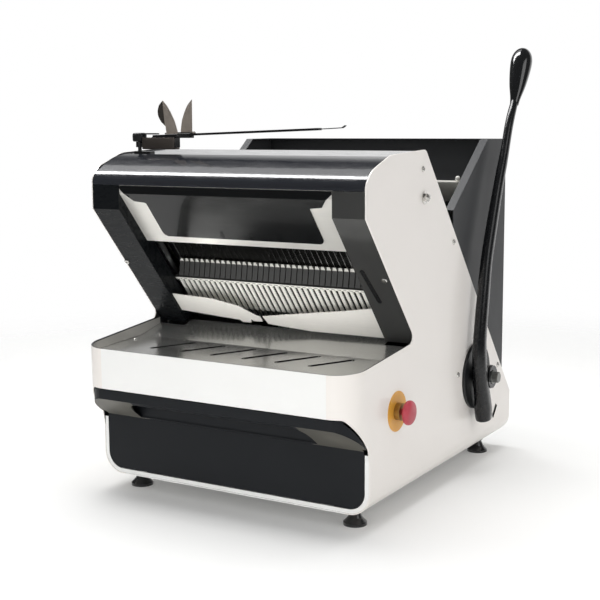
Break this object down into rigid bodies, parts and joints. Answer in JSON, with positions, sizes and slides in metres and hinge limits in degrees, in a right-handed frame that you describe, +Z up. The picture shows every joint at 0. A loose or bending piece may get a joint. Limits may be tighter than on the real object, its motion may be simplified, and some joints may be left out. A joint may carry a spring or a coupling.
{
  "type": "bread slicer",
  "caption": "Table-top frame bread slicer: white housing, dark sloping hood over a slotted comb and blades, slotted tray, crumb drawer, rear hopper and a side lever.",
  "frame": {"origin": "middle of the machine's footprint box, on the surface that its feet stand on", "axes": "+X to the right of a person at the slice tray, +Y from the tray to the hopper, +Z up"},
  "size_m": [0.609, 0.705, 0.8217],
  "materials": {
    "white_enamel": "gloss",
    "dark_paint": "gloss",
    "dark_grey": "satin",
    "steel": "brushed",
    "steel_light": "satin",
    "blade_steel": "satin",
    "frame_alu": "satin",
    "zinc": "satin",
    "motor_grey": "satin",
    "black_plastic": "matte",
    "black_gloss": "gloss",
    "rubber": "matte",
    "red_plastic": "gloss",
    "yellow_plate": "matte",
    "white_plastic": "gloss"
  },
  "bodies": {
    "base": {"side_panel_left": "white_enamel", "side_panel_right": "white_enamel", "front_band": "white_enamel", "base_pan": "white_enamel", "drawer_frame": "white_enamel", "rear_cover": "white_enamel", "mains_gland": "black_plastic", "slice_tray": "steel", "hood": "dark_paint", "rear_guard": "steel", "strip_left": "dark_paint", "strip_right": "dark_paint", "guard_plate": "steel_light", "shield": "dark_paint", "outfeed_plate_left": "steel_light", "outfeed_plate_right": "steel_light", "comb_front": "steel", "comb_rear": "steel", "loaf_table": "steel", "hopper_wall_left": "dark_grey", "hopper_wall_right": "dark_grey", "hopper_wall_rear": "dark_grey", "chassis_left": "dark_grey", "chassis_right": "dark_grey", "guide_rods": "zinc", "crank_bearings": "zinc", "shaft_bearings": "zinc", "motor": "motor_grey", "drive_belt": "rubber", "hub_cover": "white_enamel", "stop_plate": "yellow_plate", "stop_body": "black_plastic", "bag_base": "black_plastic", "feet": "rubber"},
    "blade_frame_a": {"blade_frame_a": "frame_alu", "blades_a": "blade_steel"},
    "blade_frame_b": {"blade_frame_b": "frame_alu", "blades_b": "blade_steel"},
    "crank": {"crankshaft": "zinc", "drive_pulley": "frame_alu"},
    "conrod_a": {"conrod_a": "frame_alu"},
    "conrod_b": {"conrod_b": "frame_alu"},
    "motor_rotor": {"motor_pulley": "frame_alu"},
    "lever": {"lever_shaft": "zinc", "rocker_left": "zinc", "rocker_right": "zinc", "lever_arm": "black_gloss", "lever_grip": "black_gloss", "hub_ring": "black_gloss", "hub_bolt": "zinc"},
    "pusher": {"pusher_plate": "steel", "pusher_tines": "steel_light", "pusher_carriage": "zinc", "pusher_knob": "white_plastic"},
    "drawer": {"drawer_front": "dark_paint", "drawer_tray": "steel"},
    "stop_button": {"stop_button": "red_plastic"},
    "bag_holder": {"bag_arm": "dark_grey", "bag_leaves": "steel_light"},
    "bag_knob": {"bag_knob": "black_plastic"}
  },
  "joints": [
    {"name": "blade_frame_a_stroke", "type": "slide", "parent": "base", "child": "blade_frame_a", "axis": [0, 0.6428, -0.766], "range_m": [-0.012, 0.012]},
    {"name": "blade_frame_b_stroke", "type": "slide", "parent": "base", "child": "blade_frame_b", "axis": [0, 0.6428, -0.766], "range_m": [-0.012, 0.012]},
    {"name": "crank_turn", "type": "hinge", "parent": "base", "child": "crank", "pos_m": [-0.0245, 0.06134, 0.19282], "axis": [1, 0, 0], "continuous": true},
    {"name": "motor_turn", "type": "hinge", "parent": "base", "child": "motor_rotor", "pos_m": [-0.2305, 0.2675, 0.103], "axis": [1, 0, 0], "continuous": true},
    {"name": "conrod_a_turn", "type": "hinge", "parent": "crank", "child": "conrod_a", "pos_m": [-0.0545, 0.05215, 0.1851], "axis": [1, 0, 0], "continuous": true},
    {"name": "conrod_b_turn", "type": "hinge", "parent": "crank", "child": "conrod_b", "pos_m": [0.0055, 0.07054, 0.20053], "axis": [1, 0, 0], "continuous": true},
    {"name": "lever_swing", "type": "hinge", "parent": "base", "child": "lever", "pos_m": [-0.0245, 0.1535, 0.1895], "axis": [1, 0, 0], "range_deg": [0, 50]},
    {"name": "pusher_slide", "type": "slide", "parent": "base", "child": "pusher", "axis": [0, -0.9848, -0.1736], "range_m": [0, 0.27439]},
    {"name": "drawer_slide", "type": "slide", "parent": "base", "child": "drawer", "axis": [0, -1, 0], "range_m": [0, 0.23]},
    {"name": "stop_press", "type": "slide", "parent": "base", "child": "stop_button", "axis": [-1, 0, 0], "range_m": [0, 0.005], "stiffness_N_per_m": 1200, "springref_m": -0.001},
    {"name": "bag_holder_swing", "type": "hinge", "parent": "base", "child": "bag_holder", "pos_m": [-0.2745, -0.2025, 0.639], "axis": [0, 0, 1], "range_deg": [-100, 20]},
    {"name": "bag_knob_turn", "type": "hinge", "parent": "base", "child": "bag_knob", "pos_m": [-0.2745, -0.2025, 0.651], "axis": [0, 0, 1], "range_deg": [-180, 180]}
  ],
  "couplings": [
    {"joint": "blade_frame_b_stroke", "follows": "blade_frame_a_stroke", "ratio": -1},
    {"joint": "motor_turn", "follows": "crank_turn", "ratio": 2.5},
    {"joint": "conrod_a_turn", "follows": "crank_turn", "ratio": -1},
    {"joint": "conrod_b_turn", "follows": "crank_turn", "ratio": -1},
    {"joint": "pusher_slide", "follows": "lever_swing", "m_per_rad": 0.31442}
  ]
}
